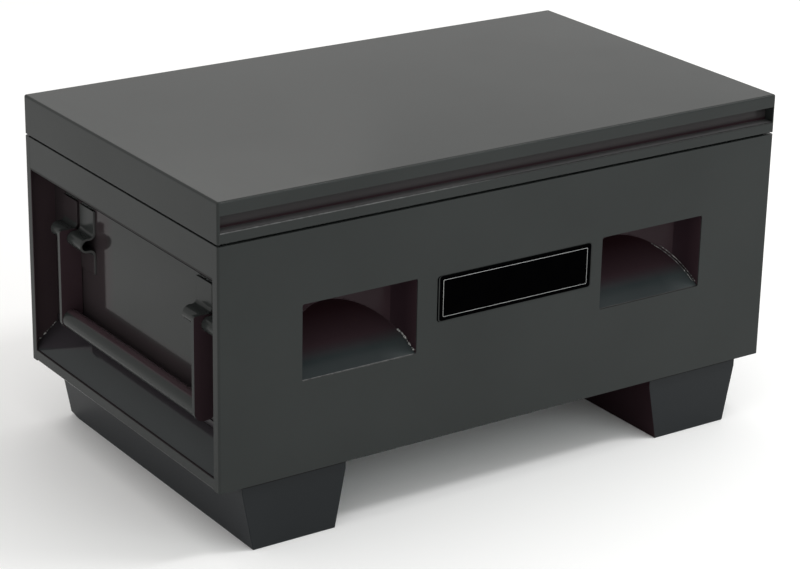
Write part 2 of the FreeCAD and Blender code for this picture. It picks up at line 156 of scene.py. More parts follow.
def softCopy(node, name, radius, cuts=()):
    # a merged copy of a node, with its sheared and folded edges rounded off;
    # cuts are flat planes (a point and a normal) that part two paints on one face
    mesh = nodes[node].data.copy()
    mesh.name = name
    mesh.materials.clear()
    piece = bpy.data.objects.new(name, mesh)
    bpy.context.scene.collection.objects.link(piece)
    selectOnly(piece)
    bpy.ops.object.mode_set(mode="EDIT")
    bpy.ops.mesh.select_all(action="SELECT")
    bpy.ops.mesh.remove_doubles(threshold=cleanUp["mergeWithin"])
    bpy.ops.mesh.dissolve_limited(angle_limit=math.radians(cleanUp["flatWithin"]))
    for spot, normal in cuts:
        bpy.ops.mesh.select_all(action="SELECT")
        bpy.ops.mesh.bisect(plane_co=spot, plane_no=normal)
    bpy.ops.object.mode_set(mode="OBJECT")
    roundEdges(piece, radius)
    return piece


# shader helpers: small steps that every finish below uses

def newMaterial(name):
    material = bpy.data.materials.new(name)
    material.use_nodes = True
    tree = material.node_tree
    shader = tree.nodes["Principled BSDF"]
    return material, tree, shader


def objectCoords(tree):
    return tree.nodes.new("ShaderNodeTexCoord").outputs["Object"]


def noiseNode(tree, coords, scale, detail=3.0, roughness=0.5, stretch=None):
    if stretch:
        mapping = tree.nodes.new("ShaderNodeMapping")
        mapping.inputs["Scale"].default_value = stretch
        tree.links.new(coords, mapping.inputs["Vector"])
        coords = mapping.outputs["Vector"]
    noise = tree.nodes.new("ShaderNodeTexNoise")
    noise.inputs["Scale"].default_value = scale
    noise.inputs["Detail"].default_value = detail
    noise.inputs["Roughness"].default_value = roughness
    tree.links.new(coords, noise.inputs["Vector"])
    return noise.outputs["Fac"]


def spread(tree, value, low, high, toLow, toHigh):
    remap = tree.nodes.new("ShaderNodeMapRange")
    remap.inputs["From Min"].default_value = low
    remap.inputs["From Max"].default_value = high
    remap.inputs["To Min"].default_value = toLow
    remap.inputs["To Max"].default_value = toHigh
    tree.links.new(value, remap.inputs["Value"])
    return remap.outputs["Result"]


def mixColours(tree, factor, first, second):
    mix = tree.nodes.new("ShaderNodeMix")
    mix.data_type = "RGBA"
    for socket, colour in ((mix.inputs[6], first), (mix.inputs[7], second)):
        if hasattr(colour, "links"):
            tree.links.new(colour, socket)
        else:
            socket.default_value = (*colour, 1.0)
    tree.links.new(factor, mix.inputs[0])
    return mix.outputs[2]


def combine(tree, operation, first, second):
    node = tree.nodes.new("ShaderNodeMath")
    node.operation = operation
    tree.links.new(first, node.inputs[0])
    tree.links.new(second, node.inputs[1])
    return node.outputs[0]


def bump(tree, shader, height, distance, strength):
    node = tree.nodes.new("ShaderNodeBump")
    node.inputs["Distance"].default_value = distance
    node.inputs["Strength"].default_value = strength
    tree.links.new(height, node.inputs["Height"])
    tree.links.new(node.outputs["Normal"], shader.inputs["Normal"])


def fadeMask(tree, coords, rules):
    # where a further colour, a painted shade or painted light, takes over: each rule is a direction
    # and its start and end, in metres
    mask = None
    for direction, start, end in rules:
        along = tree.nodes.new("ShaderNodeVectorMath")
        along.operation = "DOT_PRODUCT"
        along.inputs[1].default_value = direction
        tree.links.new(coords, along.inputs[0])
        part = spread(tree, along.outputs["Value"], start, end, 0.0, 1.0)
        mask = part if mask is None else combine(tree, "MAXIMUM", mask, part)
    return mask


# finishes: colours are linear, noise scales are per metre and bump depths are in metres

noiseRange = (0.3, 0.7)     # between these lie nearly all values of a noise

paintLook = {
    "outside": (0.0243, 0.0268, 0.0262),
    "inside": (0.0270, 0.0180, 0.0205),     # a warmer, darker painted shade for places where little light comes in
    # painted shade: the tone of the shaded parts of a handle recess
    "recess": (0.0275, 0.0222, 0.0238),
    # painted shade: the skids darker than the body, as if in its shade
    "skid": (0.0158, 0.0176, 0.0190),
    # painted shade: a warmer, paler tone for the shaded rear return of each recess
    "return": (0.0390, 0.0273, 0.0305),
    # painted shade: a warm tone for the shaded broad faces of the handle arms; some pocket welds take
    # it too
    "arm": (0.0340, 0.0215, 0.0255),
    # painted light: the lit tone of a ramp; rampShade is its painted shade
    "ramp": (0.0252, 0.0288, 0.0300),
    "rampShade": (0.0292, 0.0262, 0.0298),
    # painted shade on the skids' outer sides
    "skidSide": (0.0116, 0.0136, 0.0158),
    # painted light in the right-hand corner of a pocket's floor
    "pocketCorner": (0.0280, 0.0335, 0.0345),
    # painted shade along the top of a grip
    "gripTop": (0.0450, 0.0295, 0.0340),
    # painted shade: lines along a header's hem and the sill's top
    "hem": (0.0200, 0.0170, 0.0180),
    # painted shade on a pocket's floor, darker and warmer from front to back
    "pocketFront": (0.0118, 0.0163, 0.0174),
    "pocketMiddle": (0.0258, 0.0155, 0.0187),
    "pocketBack": (0.0150, 0.0065, 0.0080),
    # painted shade on a pocket's round wall, darker past its turn
    "wallBack": (0.0330, 0.0195, 0.0235),
    "wallSide": (0.0190, 0.0110, 0.0139),
    # painted shade in the finger groove, darkest in its corner and paler at its foot
    "grooveCorner": (0.0230, 0.0120, 0.0150),
    "grooveFoot": (0.0357, 0.0315, 0.0327),
    "grooveTop": (0.0223, 0.0208, 0.0213),
    # painted light on the groove's ledge
    "ledge": (0.0750, 0.0740, 0.0750),
    # painted shade in folds and under the body
    "crevice": (0.0060, 0.0045, 0.0050),
    # painted shade on the skids' inner sides, under the body
    "underside": (0.0135, 0.0060, 0.0080),
    "strapEdge": (0.070, 0.071, 0.070),     # painted light: paler, as if the straps' edges caught light
    "cloudScale": 5.0,
    "cloudRange": (0.35, 0.65),
    "cloudGain": 1.12,
    "dustScale": 1100.0,
    "dustRange": (0.68, 0.78),
    "dustGain": 1.2,
    "sheenScale": 12.5,
    "peelScale": 520.0,
    "peelDepth": 0.00005,
    "fineDepth": 0.000008,                  # the grips are worn smoother
    "roughness": (0.15, 0.21),
    "gripRoughness": (0.19, 0.21),
    "gloss": (0.06, 0.09),                  # roughness of the sheets at each end
    "satin": (0.3, 0.4),
    "matt": (0.5, 0.6),
    "specular": 0.095,
    "rampSpecular": 0.11,
    "skidSideSpecular": 0.072,
    "shadeSpecular": 0.03,
}


def powderCoat(name, colours, fades=(), roughness=paintLook["roughness"],
               specular=paintLook["specular"], look=paintLook):
    # one colour, or several that follow each other as the fades say; the fades place painted shade and
    # painted light
    material, tree, shader = newMaterial(name)
    coords = objectCoords(tree)
    shade = colours[0]
    for colour, rules in zip(colours[1:], fades):
        shade = mixColours(tree, fadeMask(tree, coords, rules), shade, colour)
    cloud = noiseNode(tree, coords, look["cloudScale"], detail=4.0)
    cloud = spread(tree, cloud, *look["cloudRange"], 1.0, look["cloudGain"])
    dust = noiseNode(tree, coords, look["dustScale"], detail=2.0)
    dust = spread(tree, dust, *look["dustRange"], 1.0, look["dustGain"])
    speckled = tree.nodes.new("ShaderNodeVectorMath")
    speckled.operation = "SCALE"
    if hasattr(shade, "links"):
        tree.links.new(shade, speckled.inputs[0])
    else:
        speckled.inputs[0].default_value = shade
    tree.links.new(combine(tree, "MULTIPLY", cloud, dust), speckled.inputs["Scale"])
    tree.links.new(speckled.outputs["Vector"], shader.inputs["Base Color"])
    sheen = noiseNode(tree, coords, look["sheenScale"], detail=5.0)
    tree.links.new(spread(tree, sheen, *noiseRange, *roughness), shader.inputs["Roughness"])
    shader.inputs["Specular IOR Level"].default_value = specular
    peel = noiseNode(tree, coords, look["peelScale"], detail=2.0, roughness=0.45)
    bump(tree, shader, peel, look["peelDepth"], strength=0.35)
    return material


edgeHighlightLook = {
    "pale": (0.090, 0.090, 0.090),
    "dull": (0.0160, 0.0165, 0.0165),
    "fade": (-0.13, 0.0),           # the highlight is full to the left of the first, and none from the second on
    "patchScale": 140.0,
    "patchRange": (0.30, 0.62),
    "leastWear": 0.35,
    "roughness": 0.22,
    "patchDepth": 0.00003,
}


def wornEdge(look=edgeHighlightLook):
    # a painted highlight along an edge, strongest towards the left-hand end and broken into patches
    material, tree, shader = newMaterial("wornEdge")
    coords = objectCoords(tree)
    start, end = look["fade"]
    along = fadeMask(tree, coords, [(alongBox, end, start)])
    patch = noiseNode(tree, coords, look["patchScale"], detail=4.0)
    patch = spread(tree, patch, *look["patchRange"], look["leastWear"], 1.0)
    shade = mixColours(tree, combine(tree, "MULTIPLY", along, patch), look["dull"], look["pale"])
    tree.links.new(shade, shader.inputs["Base Color"])
    shader.inputs["Roughness"].default_value = look["roughness"]
    shader.inputs["Specular IOR Level"].default_value = paintLook["specular"]
    bump(tree, shader, patch, look["patchDepth"], strength=0.3)
    return material


steelLook = {
    "colour": (0.30, 0.30, 0.29),
    "grime": (0.12, 0.115, 0.11),
    "grimeScale": 60.0,
    "grimeRange": (0.5, 0.75),
    "mostGrime": 0.8,
    "roughness": (0.28, 0.45),
    "grainScale": 90.0,
    "grainStretch": (1.0, 1.0, 14.0),
    "grainDepth": 0.00005,
}


def barePlatedSteel(look=steelLook):
    material, tree, shader = newMaterial("platedSteel")
    coords = objectCoords(tree)
    grime = noiseNode(tree, coords, look["grimeScale"], detail=5.0)
    grime = spread(tree, grime, *look["grimeRange"], 0.0, look["mostGrime"])
    shade = mixColours(tree, grime, look["colour"], look["grime"])
    tree.links.new(shade, shader.inputs["Base Color"])
    grain = noiseNode(tree, coords, look["grainScale"], detail=4.0, roughness=0.6,
                      stretch=look["grainStretch"])
    tree.links.new(spread(tree, grain, *noiseRange, *look["roughness"]), shader.inputs["Roughness"])
    shader.inputs["Metallic"].default_value = 1.0
    bump(tree, shader, grain, look["grainDepth"], strength=0.3)
    return material


beadFinish = {
    "colour": (0.07, 0.07, 0.07),
    # painted highlight: pale patches that stand in for glints on the bead
    "worn": (0.34, 0.34, 0.33),
    "wearScale": 260.0,
    "wearRange": (0.46, 0.6),
    "roughness": 0.16,
    "rippleScale": 700.0,
    "rippleDepth": 0.0002,
}


def weldSeam(look=beadFinish):
    # thin paint over a rippled bead, with pale patches as painted glints
    material, tree, shader = newMaterial("paintedWeld")
    coords = objectCoords(tree)
    worn = noiseNode(tree, coords, look["wearScale"], detail=3.0)
    worn = spread(tree, worn, *look["wearRange"], 0.0, 1.0)
    tree.links.new(mixColours(tree, worn, look["colour"], look["worn"]), shader.inputs["Base Color"])
    shader.inputs["Roughness"].default_value = look["roughness"]
    ripple = noiseNode(tree, coords, look["rippleScale"], detail=3.0)
    bump(tree, shader, ripple, look["rippleDepth"], strength=0.5)
    return material


plateLook = {
    "field": (0.0006, 0.0006, 0.0007),
    "border": (0.42, 0.42, 0.42),
    "rim": (0.026, 0.027, 0.027),
    "roughness": (0.45, 0.60),
    "cloudScale": 45.0,
    "cloudRange": (0.35, 0.65),
    "paleGain": 1.25,
    "grainScale": 900.0,
    "grainDepth": 0.00002,
    # from the back to the front: finish, insets at the left, right, bottom and top, corner radius
    "layers": (("field", (-1.2, 0.0, 0.0, -1.2), 4.0), ("rim", (0.1, 0.0, 0.0, -1.0), 3.8),
               ("field", (1.7, 1.3, 0.7, -0.9), 3.4), ("border", (6.85, 6.75, 5.45, 4.25), 1.5),
               ("field", (7.25, 7.15, 5.85, 4.65), 1.1)),
    "layerStep": 0.04,      # mm that each layer stands behind the next
    "cornerSteps": 8,
}


def plateEnamel(name, colour, look=plateLook):
    material, tree, shader = newMaterial(name)
    coords = objectCoords(tree)
    cloud = noiseNode(tree, coords, look["cloudScale"], detail=4.0)
    cloud = spread(tree, cloud, *look["cloudRange"], 0.0, 1.0)
    pale = tuple(part * look["paleGain"] for part in colour)
    tree.links.new(mixColours(tree, cloud, colour, pale), shader.inputs["Base Color"])
    tree.links.new(spread(tree, cloud, 0.0, 1.0, *look["roughness"]), shader.inputs["Roughness"])
    shader.inputs["Specular IOR Level"].default_value = 0.0
    grain = noiseNode(tree, coords, look["grainScale"], detail=2.0)
    bump(tree, shader, grain, look["grainDepth"], strength=0.3)
    return material


# camera and studio

cameraLook = {
    "place": (-1.72770, -2.53247, 1.36070),
    "azimuth": -34.34,
    "elevation": 21.0,
    "roll": 1.15,
    "lens": 114.95,
    "sensor": 36.0,
    "farthest": 50.0,
}


def addCamera():
    azimuth = math.radians(cameraLook["azimuth"])
    elevation = math.radians(cameraLook["elevation"])
    roll = math.radians(cameraLook["roll"])
    back = Vector((math.sin(azimuth) * math.cos(elevation),
                   -math.cos(azimuth) * math.cos(elevation), math.sin(elevation)))
    level = (-back).cross(Vector(upwards)).normalized()
    up = level.cross(-back)
    right = level * math.cos(roll) + up * math.sin(roll)
    up = up * math.cos(roll) - level * math.sin(roll)
    data = bpy.data.cameras.new("productCamera")
    data.lens = cameraLook["lens"]
    data.sensor_width = cameraLook["sensor"]
    data.clip_end = cameraLook["farthest"]
    camera = bpy.data.objects.new("productCamera", data)
    turn = Matrix((right, up, back)).transposed().to_4x4()
    camera.matrix_world = Matrix.Translation(cameraLook["place"]) @ turn
    bpy.context.scene.collection.objects.link(camera)
    bpy.context.scene.camera = camera


studio = {
    "world": 0.88,
    "worldColour": (1.0, 0.99, 0.975, 1.0),
    "floor": (0.96, 0.96, 0.96, 1.0),
    "floorSize": 30.0,
    "floorRoughness": 0.9,
    "lamps": {
        "topSoftbox": {"place": (0.2, 0.3, 3.2), "size": (4.5, 4.0), "power": 14.0,
                       "aim": (0, 0, 0.2), "colour": (1.0, 1.0, 0.99)},
        "frontSoftbox": {"place": (0.7, -3.0, 1.5), "size": (2.6, 1.6), "power": 19.0,
                         "aim": (0, 0, 0.25), "colour": (0.90, 1.0, 1.0)},
        "keyStrip": {"place": (1.5, -1.1, 2.4), "size": (1.8, 0.4), "power": 25.0,
                     "aim": (1.5, -0.1, 0.2), "colour": (1.0, 1.0, 1.0)},
        "backSoftbox": {"place": (0.75, 2.1, 1.85), "size": (1.1, 1.1), "power": 2.2,
                        "aim": (-0.25, -0.1, 0.43), "colour": (1.0, 0.98, 0.95)},
    },
}


def addLamp(name, look):
    data = bpy.data.lights.new(name, "AREA")
    data.shape = "RECTANGLE"
    data.size, data.size_y = look["size"]
    data.energy = look["power"]
    data.color = look["colour"]
    lamp = bpy.data.objects.new(name, data)
    lamp.location = look["place"]
    aim = Vector(look["aim"]) - Vector(look["place"])
    lamp.rotation_euler = aim.to_track_quat("-Z", "Y").to_euler()
    bpy.context.scene.collection.objects.link(lamp)


def addStudio():
    for name, look in studio["lamps"].items():
        addLamp(name, look)
    world = bpy.data.worlds.new("studioWorld")
    bpy.context.scene.world = world
    world.use_nodes = True
    background = world.node_tree.nodes["Background"]
    background.inputs["Color"].default_value = studio["worldColour"]
    background.inputs["Strength"].default_value = studio["world"]

    deselect()
    bpy.ops.mesh.primitive_plane_add(size=studio["floorSize"], location=(0, 0, 0))
    floor = bpy.context.object
    floor.name = "studioFloor"
    material, tree, shader = newMaterial("paleFloor")
    shader.inputs["Base Color"].default_value = studio["floor"]
    shader.inputs["Roughness"].default_value = studio["floorRoughness"]
    shader.inputs["Specular IOR Level"].default_value = 0.0
    floor.data.materials.append(material)


bpy.context.scene.view_settings.view_transform = "Standard"
addCamera()
addStudio()
print("camera and studio ready")


# paint the frame's own pieces

fadeLook = {
    # where one painted shade or painted light gives way to the next, from its start to its end, in
    # metres
    "pocketCorner": (0.030, 0.072),         # from a pocket's middle towards the right
    "pocketMiddle": (-0.2220, -0.2065),
    "pocketBack": (-0.206, -0.172),
    "pocketSide": (-0.244, -0.219),
    "panelRear": (0.077, 0.097),
    "panelFoot": (0.202, 0.183),
    "rampTop": (0.1240, 0.1272),
    "rampRear": (0.1625, 0.1665),
    "grooveFoot": (0.4050, 0.4072),
    "grooveTop": (0.4080, 0.418),
    "gripTop": (2.7, 1.1),                  # where the painted shade along a grip's top begins and ends, in mm below the top of the grip
}
rampSlant = (0, 0.278, 1)                   # the painted shade at the rear of a ramp is wider higher up
# apart from the plain charcoal paint, most of these powder coats are painted shade or painted light
outerPaint = powderCoat("charcoalPowderCoat", [paintLook["outside"]])
innerShadePaint = powderCoat("shadedPowderCoat", [paintLook["inside"]])
skidShadePaint = powderCoat("skidPowderCoat", [paintLook["skid"]])
returnShadePaint = powderCoat("returnPowderCoat", [paintLook["return"]])
warmShadePaint = powderCoat("armPowderCoat", [paintLook["arm"]])
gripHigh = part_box("left_handle_grip")[1].z
gripShade = [gripHigh - below * mm for below in fadeLook["gripTop"]]
# painted shade along the top of each grip
gripShadedTopPaint = powderCoat("gripPowderCoat", [paintLook["outside"], paintLook["gripTop"]],
                       [[(upwards, *gripShade)]], paintLook["gripRoughness"],
                       look={**paintLook, "peelDepth": paintLook["fineDepth"]})


def pocketFloorPaint(side):
    # painted light in the right-hand corner, and painted shade that grows darker and warmer towards
    # the back
    low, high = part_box(side + "_pocket_floor")
    middle = (low.x + high.x) / 2
    start, end = fadeLook["pocketCorner"]
    shades = ("pocketFront", "pocketCorner", "pocketMiddle", "pocketBack")
    return powderCoat(side + "PocketPowderCoat", [paintLook[name] for name in shades],
                      [[(alongBox, middle + start, middle + end)],
                       [(sideways, *fadeLook["pocketMiddle"])],
                       [(sideways, *fadeLook["pocketBack"])]])


pocketWallShadePaint = powderCoat("pocketWallPowderCoat", [paintLook["wallBack"]])
pocketWallSideShadePaint = powderCoat("pocketSidePowderCoat", [paintLook["wallBack"], paintLook["wallSide"]],
                           [[(sideways, *fadeLook["pocketSide"])]])
recessShadePaint = powderCoat("recessPowderCoat", [paintLook["recess"]])
# painted shade on an end panel's outer face, towards its rear and along its foot
panelShadePaint = powderCoat("endPanelPowderCoat", [paintLook["outside"], paintLook["recess"]],
                        [[(sideways, *fadeLook["panelRear"]), (upwards, *fadeLook["panelFoot"])]],
                        paintLook["gloss"])
# painted light on the lower front of a ramp, and painted shade at its top and rear
rampLightAndShadePaint = powderCoat("rampPowderCoat", [paintLook["ramp"], paintLook["rampShade"]],
                       [[(upwards, *fadeLook["rampTop"]), (rampSlant, *fadeLook["rampRear"])]],
                       paintLook["gloss"], paintLook["rampSpecular"])
grooveShadePaint = powderCoat("groovePowderCoat",
                         [paintLook[name] for name in ("grooveCorner", "grooveFoot", "grooveTop")],
                         [[(upwards, *fadeLook["grooveFoot"])], [(upwards, *fadeLook["grooveTop"])]])
ledgeLightPaint = powderCoat("ledgePowderCoat", [paintLook["ledge"]])
undersideShadePaint = powderCoat("undersidePowderCoat", [paintLook["underside"]],
                            roughness=paintLook["satin"], specular=paintLook["shadeSpecular"])
strapEdgeLightPaint = powderCoat("rubbedPowderCoat", [paintLook["strapEdge"]])
crevicePaint = powderCoat("crevicePaint", [paintLook["crevice"]],
                          roughness=paintLook["matt"], specular=paintLook["shadeSpecular"])
hemShadePaint = powderCoat("hemPowderCoat", [paintLook["hem"]], roughness=paintLook["matt"], specular=0.0)
hemFootShadePaint = powderCoat("hemFootPowderCoat", [paintLook["crevice"]],
                          roughness=paintLook["matt"], specular=0.0)
skidSideShadePaint = powderCoat("skidSidePowderCoat", [paintLook["skidSide"]],
                           specular=paintLook["skidSideSpecular"])
edgeHighlightPaint = wornEdge()
steel = barePlatedSteel()
seamPaint = weldSeam()
steelNodes = ["stay_bar", "stay_stud", "stay_pivot_pin"]
for name, piece in nodes.items():
    piece.data.materials.clear()
    piece.data.materials.append(steel if name in steelNodes else outerPaint)
print("painted", len(nodes), "pieces")


# sheet, skids and handles: the sheared edges catch a fine light

edgeLook = {
    # the radius of each kind of piece's edges, in mm
    "front_panel": 0.7, "back_panel": 0.45, "bottom_panel": 0.15, "rim_frame": 0.3,
    "lid_front_rail": 0.35, "lid_stiffener": 0.3, "hinge_body_leaf": 0.15, "hinge_lid_leaf": 0.15,
    "header": 0.6, "end_panel": 0.3, "recess_ramp": 0.4, "skid": 1.0,
    "pocket_floor": 0.35, "pocket_wall": 0.3, "lock_tab": 0.6,
    "pivot_straps": 0.5, "handle_arms": 0.8, "handle_pins": 0.7,
}
# each kind's main paint; most of these carry painted shade and painted light
mainPaint = {"end_panel": panelShadePaint, "pocket_wall": pocketWallShadePaint, "recess_ramp": rampLightAndShadePaint,
             "skid": skidShadePaint}
for side in ("left", "right"):
    mainPaint[side + "_pocket_floor"] = pocketFloorPaint(side)
# places of the painted shade and painted highlights on the frame's pieces
paintedLightPlaces = {
    # all in mm
    "skid": 4.0,                    # painted shade under the body, across the front of each skid
    "pocketSill": 0.8,              # painted highlight along the front of each pocket's floor
    "pocketCrease": 68.2,           # from a pocket's middle out to the turn of its wall, past which the wall's painted shade is darker
    "sillTop": 1.6,                 # painted shade where the sill meets the ramp
    "headerHem": (1.6, 3.3, 4.3),   # heights of the painted shade lines along a header's hem
    "openingEdge": 6.0,             # how far from the sill's height the opening's own sill reaches
    "openingReach": 300.0,          # both pockets' openings lie within this of the box's middle
    "grooveLip": 3.0,               # from the front of the rail to behind its flange's edge
    "ledge": 29.0,                  # from the top of the rail down to its ledge
    "ledgeWithin": 2.0,
    "rearStraps": 120.0,            # the straps behind this take the recess's painted shade
    "rearStrapsTop": 250.0,
    "lastStrap": 165.0,
    "lastStrapTop": 285.0,
}
pocketLow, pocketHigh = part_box("right_pocket_floor")
pocketMiddle = (pocketLow.x + pocketHigh.x) / 2
openingSill = pocketLow.z
railLow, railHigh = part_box("lid_front_rail")
grooveLip = railLow.y + paintedLightPlaces["grooveLip"] * mm
ledgeTop = railHigh.z - paintedLightPlaces["ledge"] * mm
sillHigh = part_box("bottom_panel")[1].z
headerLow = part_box("left_header")[0].z
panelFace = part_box("right_end_panel")[1].x
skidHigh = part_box("left_skid")[1].z


def cutsFor(kind, node):
    # where a piece is parted, so that a painted shade or highlight ends on a straight line
    low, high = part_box(node)
    if kind == "skid":
        return [((0, 0, high.z - paintedLightPlaces["skid"] * mm), upwards)]
    if kind == "pocket_floor":
        return [((0, low.y + paintedLightPlaces["pocketSill"] * mm, 0), sideways)]
    if kind == "pocket_wall":
        middle = (low.x + high.x) / 2
        crease = paintedLightPlaces["pocketCrease"] * mm
        return [((middle + way * crease, 0, 0), alongBox) for way in (-1, 1)]
    if kind == "bottom_panel":
        return [((0, 0, sillHigh - paintedLightPlaces["sillTop"] * mm), upwards)]
    if kind == "header":
        return [((0, 0, low.z + height * mm), upwards) for height in paintedLightPlaces["headerHem"]]
    if kind == "back_panel":
        return [((way * panelFace, 0, 0), alongBox) for way in (-1, 1)]
    return []


def isOpeningSill(spot, normal):
    # the lower edge of either pocket's opening, which takes a painted highlight
    upwardFace = normal.z > 0.25 and normal.y < 0.9
    return (upwardFace and abs(spot.z - openingSill) < paintedLightPlaces["openingEdge"] * mm
            and abs(spot.x) < paintedLightPlaces["openingReach"] * mm)


def isHemShadeLine(spot, normal):
    # the painted shade lines along the foot of a header, on its outer side
    foot, low, high = (headerLow + height * mm for height in paintedLightPlaces["headerHem"])
    return normal.x * spot.x > 0.1 and (spot.z < foot or low < spot.z < high)


def facesInwards(spot, normal):
    # the side of an end panel that is seen from inside the box
    return normal.x * spot.x < 0


def isShadedStrap(spot, normal):
    # the lower part of the straps at the rear of a recess, on their broad faces, which take the
    # recess's painted shade
    return (spot.y > paintedLightPlaces["rearStraps"] * mm and abs(normal.x) > 0.9
            and spot.z < paintedLightPlaces["rearStrapsTop"] * mm)


def isLastStrap(spot, normal):
    # the rearmost strap's edges and its top, which take the recess's painted shade
    return (spot.y > paintedLightPlaces["lastStrap"] * mm
            and (abs(normal.y) > 0.7 or spot.z > paintedLightPlaces["lastStrapTop"] * mm))


def isFlangeEdge(spot, normal):
    # the rounded upper edge of the flange below the finger groove, which takes a painted highlight
    return spot.y < grooveLip and normal.y < -0.3 and normal.z > 0.45


def isLedge(spot, normal):
    # the narrow step at the foot of the finger groove, which takes a painted light
    onLedge = abs(spot.z - ledgeTop) < paintedLightPlaces["ledgeWithin"] * mm
    return spot.y > grooveLip and normal.z > 0.95 and onLedge


def facesStorage(spot, normal):
    # the side of a pocket's round wall that is seen from inside the box
    middle = math.copysign(pocketMiddle, spot.x)
    return (spot.x - middle) * normal.x + (spot.y - pocketLow.y) * normal.y > 0


# most of these faces take painted shade or painted highlights
# faces that differ from the rest of their piece: a test of place and normal, and the paint;
# where more than one test holds, the last one counts
specialFaces = {
    "back_panel": [(lambda spot, normal: normal.y < -0.7 and abs(spot.x) > panelFace, returnShadePaint)],
    "end_panel": [(facesInwards, outerPaint)],
    "front_panel": [(isOpeningSill, edgeHighlightPaint)],
    "bottom_panel": [(lambda spot, normal: spot.z > sillHigh - paintedLightPlaces["sillTop"] * mm, hemShadePaint)],
    "header": [(isHemShadeLine, hemShadePaint),
               (lambda spot, normal: abs(normal.x) < 0.99 and normal.z < -0.2, hemFootShadePaint)],
    "handle_arms": [(lambda spot, normal: abs(normal.y) > 0.7, warmShadePaint)],
    "pivot_straps": [(lambda spot, normal: abs(normal.y) > 0.7, strapEdgeLightPaint),
                     (isShadedStrap, recessShadePaint), (isLastStrap, recessShadePaint)],
    "pocket_floor": [(lambda spot, normal: normal.z > 0.3 and spot.y < pocketLow.y
                      + paintedLightPlaces["pocketSill"] * mm, edgeHighlightPaint),
                     (lambda spot, normal: normal.z < -0.3, outerPaint)],
    "pocket_wall": [(lambda spot, normal: abs(abs(spot.x) - pocketMiddle)
                     > paintedLightPlaces["pocketCrease"] * mm, pocketWallSideShadePaint),
                    (facesStorage, outerPaint)],
    # the finger groove: a painted highlight on the flange's edge, painted shade on its walls and
    # painted light on its ledge
    "lid_front_rail": [(isFlangeEdge, edgeHighlightPaint),
                       (lambda spot, normal: spot.y > grooveLip
                        and (normal.y < -0.2 or normal.z > 0.3), innerShadePaint),
                       (lambda spot, normal: spot.y > grooveLip and normal.y < -0.95, grooveShadePaint),
                       (isLedge, ledgeLightPaint)],
    # painted shade in the fold where a ramp meets the sill
    "recess_ramp": [(lambda spot, normal: abs(normal.x) > 0.72 and normal.z > 0.05, crevicePaint)],
    "skid": [(lambda spot, normal: normal.x * spot.x > 0 and abs(normal.x) > 0.7, skidSideShadePaint),
             (lambda spot, normal: normal.x * spot.x < 0 and abs(normal.x) > 0.7, undersideShadePaint),
             (lambda spot, normal: abs(normal.y) > 0.7 and spot.z > skidHigh - paintedLightPlaces["skid"] * mm,
              crevicePaint)],
}


def camel(name):
    first, *rest = name.split("_")
    return first + "".join(word.capitalize() for word in rest)


def finishEdges(node):
    kind = node.replace("left_", "").replace("right_", "")
    piece = softCopy(node, camel(node), edgeLook[kind] * mm, cutsFor(kind, node))
    special = specialFaces.get(kind, [])
    main = mainPaint.get(kind, mainPaint.get(node, outerPaint))
    dress(piece, node, "grey_paint", main, *[paint for test, paint in special])
    for face in piece.data.polygons:
        face.material_index = 0
        for index, (test, paint) in enumerate(special, 1):
            if test(face.center, face.normal):
                face.material_index = index


for node in sorted(nodes):
    if node.replace("left_", "").replace("right_", "") in edgeLook:
        finishEdges(node)
print("softened the edges of", len(edgeLook), "kinds of piece")


# lid pan: one drawn sheet with round corners and a short lip over the groove

# all in mm but the steps
lidLook = {"sheet": 1.5, "edgeRadius": 3.0, "edgeSteps": 5, "lip": 16.5, "softEdge": 0.3}


def makeLidPan(look=lidLook):
    low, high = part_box("lid_pan")
    lid = addBlock("lidPan", low, high)
    pickFaces(lid, lambda spot, normal: normal.z < -0.5)
    bpy.ops.mesh.delete(type="FACE")
    pickEdges(lid, lambda spot, run: spot.z > low.z + 1e-5)
    bpy.ops.mesh.bevel(offset=look["edgeRadius"] * mm, segments=look["edgeSteps"], affect="EDGES")
    lipZ = high.z - look["lip"] * mm
    bpy.ops.mesh.select_all(action="SELECT")
    bpy.ops.mesh.bisect(plane_co=(0, 0, lipZ), plane_no=upwards)
    pickFaces(lid, lambda spot, normal: normal.y < -0.99 and spot.z < lipZ)
    bpy.ops.mesh.delete(type="FACE")
    bpy.ops.object.mode_set(mode="OBJECT")
    shell = lid.modifiers.new("sheetThickness", "SOLIDIFY")
    shell.thickness = look["sheet"] * mm
    shell.offset = -1.0
    shell.use_even_offset = True
    bpy.ops.object.modifier_apply(modifier=shell.name)
    roundEdges(lid, look["softEdge"] * mm, sharp=40)
    return dress(lid, "lid_pan", "grey_paint", outerPaint)


makeLidPan()
print("lid pan made")


# grips: a tube between the arms, hollowed at both ends

gripLook = {
    "sides": 64,
    "wall": 2.5,            # mm
    "hollowTo": 0.9,        # each hollow reaches in to this share of half the length
    "softEdge": 0.4,        # mm
}


def makeGrip(node, look=gripLook):
    low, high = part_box(node)
    radius = (high.z - low.z) / 2
    deselect()
    bpy.ops.mesh.primitive_cylinder_add(vertices=look["sides"], radius=radius, depth=high.y - low.y,
                                        location=(low + high) / 2, rotation=(math.pi / 2, 0, 0))
    grip = bpy.context.object
    grip.name = camel(node)
    grip.data.name = grip.name
    bpy.ops.object.transform_apply(location=True, rotation=True, scale=True)
    pickFaces(grip, lambda spot, normal: abs(normal.y) > 0.9)
    bpy.ops.mesh.inset(thickness=look["wall"] * mm)
    bpy.ops.mesh.extrude_region_move()
    bpy.ops.transform.resize(value=(1.0, look["hollowTo"], 1.0), center_override=(low + high) / 2)
    bpy.ops.object.mode_set(mode="OBJECT")
    roundEdges(grip, look["softEdge"] * mm, sharp=40)
    return dress(grip, node, "grey_paint", gripShadedTopPaint)


for node in pair("handle_grip"):
    makeGrip(node)
print("grips made")


# nameplate: bare black enamel with a thin pale border

